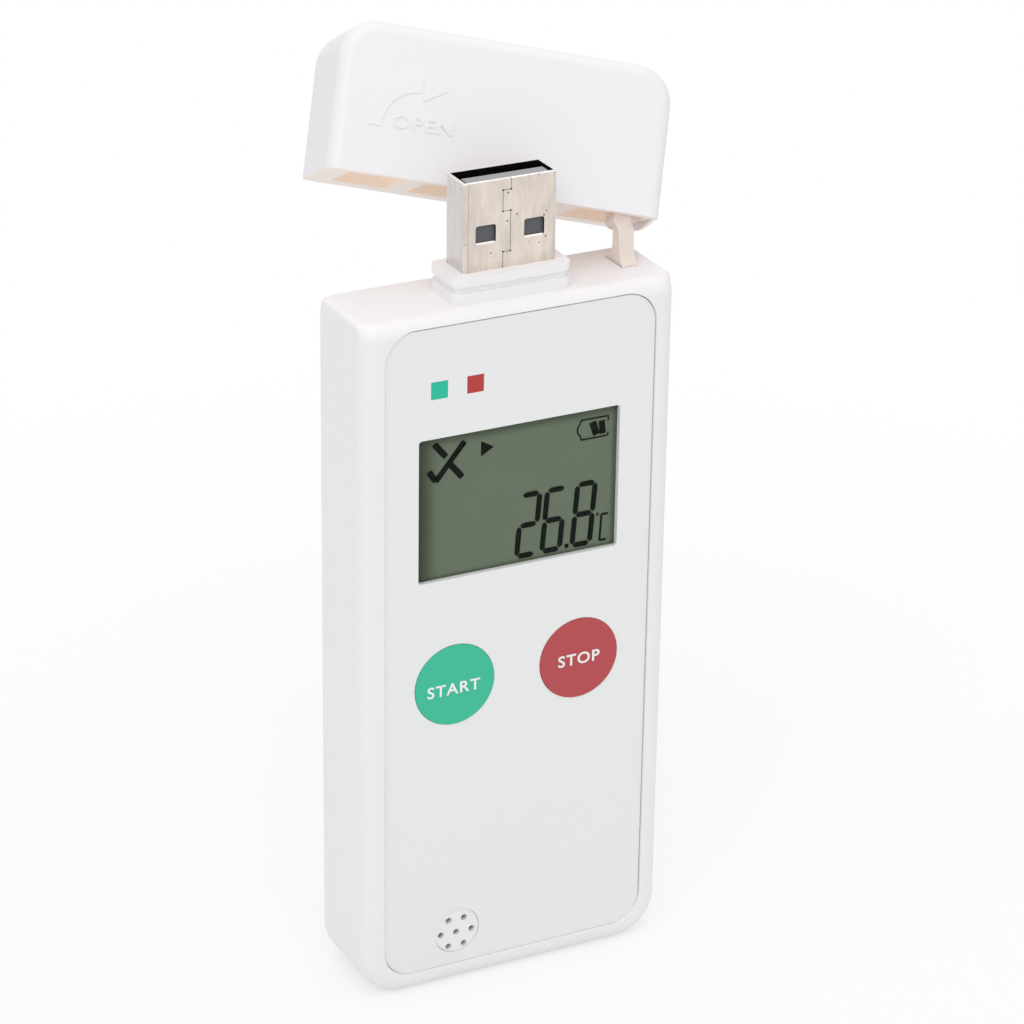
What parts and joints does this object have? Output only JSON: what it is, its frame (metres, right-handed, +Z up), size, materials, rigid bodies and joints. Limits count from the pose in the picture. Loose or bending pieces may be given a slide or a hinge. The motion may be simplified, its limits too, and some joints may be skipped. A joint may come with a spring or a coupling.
{
  "type": "temperature data logger",
  "caption": "Handheld temperature data logger with a display, start and stop buttons, status lights, a sensor grille and a plug under a cap on a strap.",
  "frame": {"origin": "centre of the case's flat base", "axes": "+Z up the case towards the plug, +X to the right seen from the front, -Y out of the front"},
  "size_m": [0.0469, 0.0324, 0.1174],
  "materials": {
    "case_white": "satin",
    "cap_white": "satin",
    "collar_white": "satin",
    "panel_film": "smooth",
    "clear_window": "polished",
    "display": "polished",
    "reflector": "matt",
    "inner_white": "matt",
    "zebra": "matt",
    "board_green": "satin",
    "steel": "bright",
    "chip_black": "matt",
    "can_blue": "satin",
    "holder_black": "matt",
    "cell_steel": "bright",
    "contact_gold": "bright",
    "start_green": "smooth",
    "stop_red": "smooth",
    "led_white": "smooth",
    "grille_white": "satin",
    "seal_rubber": "matt",
    "plug_metal": "worn nickel",
    "tongue_grey": "matt"
  },
  "bodies": {
    "case": {"front_housing": "case_white", "rear_cover": "case_white", "cover_seal": "seal_rubber", "cover_screws": "steel", "face_panel": "panel_film", "lcd_window": "clear_window", "lcd_glass": "display", "lcd_backing": "reflector", "lcd_frame": "inner_white", "contact_strips": "zebra", "circuit_board": "board_green", "board_screws": "steel", "microcontroller": "chip_black", "memory_chip": "chip_black", "crystal": "steel", "charge_capacitor": "can_blue", "battery_holder": "holder_black", "battery_cell": "cell_steel", "battery_clip": "contact_gold", "start_switch": "chip_black", "stop_switch": "chip_black", "green_light": "start_green", "red_light": "stop_red", "status_leds": "led_white", "sensor_grille": "grille_white", "sensor_gasket": "seal_rubber", "humidity_sensor": "inner_white", "usb_collar": "collar_white", "usb_shell": "plug_metal", "usb_tongue": "tongue_grey", "usb_contacts": "contact_gold"},
    "start": {"start_button": "start_green"},
    "stop": {"stop_button": "stop_red"},
    "strap": {"strap_foot": "cap_white"},
    "neck": {"strap_neck": "cap_white"},
    "cap": {"cap_shell": "cap_white", "hinge_pin": "steel"}
  },
  "joints": [
    {"name": "start_press", "type": "slide", "parent": "case", "child": "start", "axis": [0, 1, 0], "range_m": [0, 0.0004], "stiffness_N_per_m": 600, "springref_m": -0.0003},
    {"name": "stop_press", "type": "slide", "parent": "case", "child": "stop", "axis": [0, 1, 0], "range_m": [0, 0.0004], "stiffness_N_per_m": 600, "springref_m": -0.0003},
    {"name": "strap_lift", "type": "slide", "parent": "case", "child": "strap", "axis": [0, 0, 1], "range_m": [0, 0.005]},
    {"name": "cap_swivel", "type": "hinge", "parent": "strap", "child": "neck", "pos_m": [0.0169, 0.00075, 0.0893], "axis": [0, 0, -1], "range_deg": [0, 70]},
    {"name": "cap_swing", "type": "hinge", "parent": "neck", "child": "cap", "pos_m": [0.0169, 0.00215, 0.0932], "axis": [0.134, 0.8964, -0.4226], "range_deg": [0, 55]}
  ],
  "couplings": [
    {"joint": "strap_lift", "follows": "cap_swing", "m_per_rad": 0.0052}
  ]
}
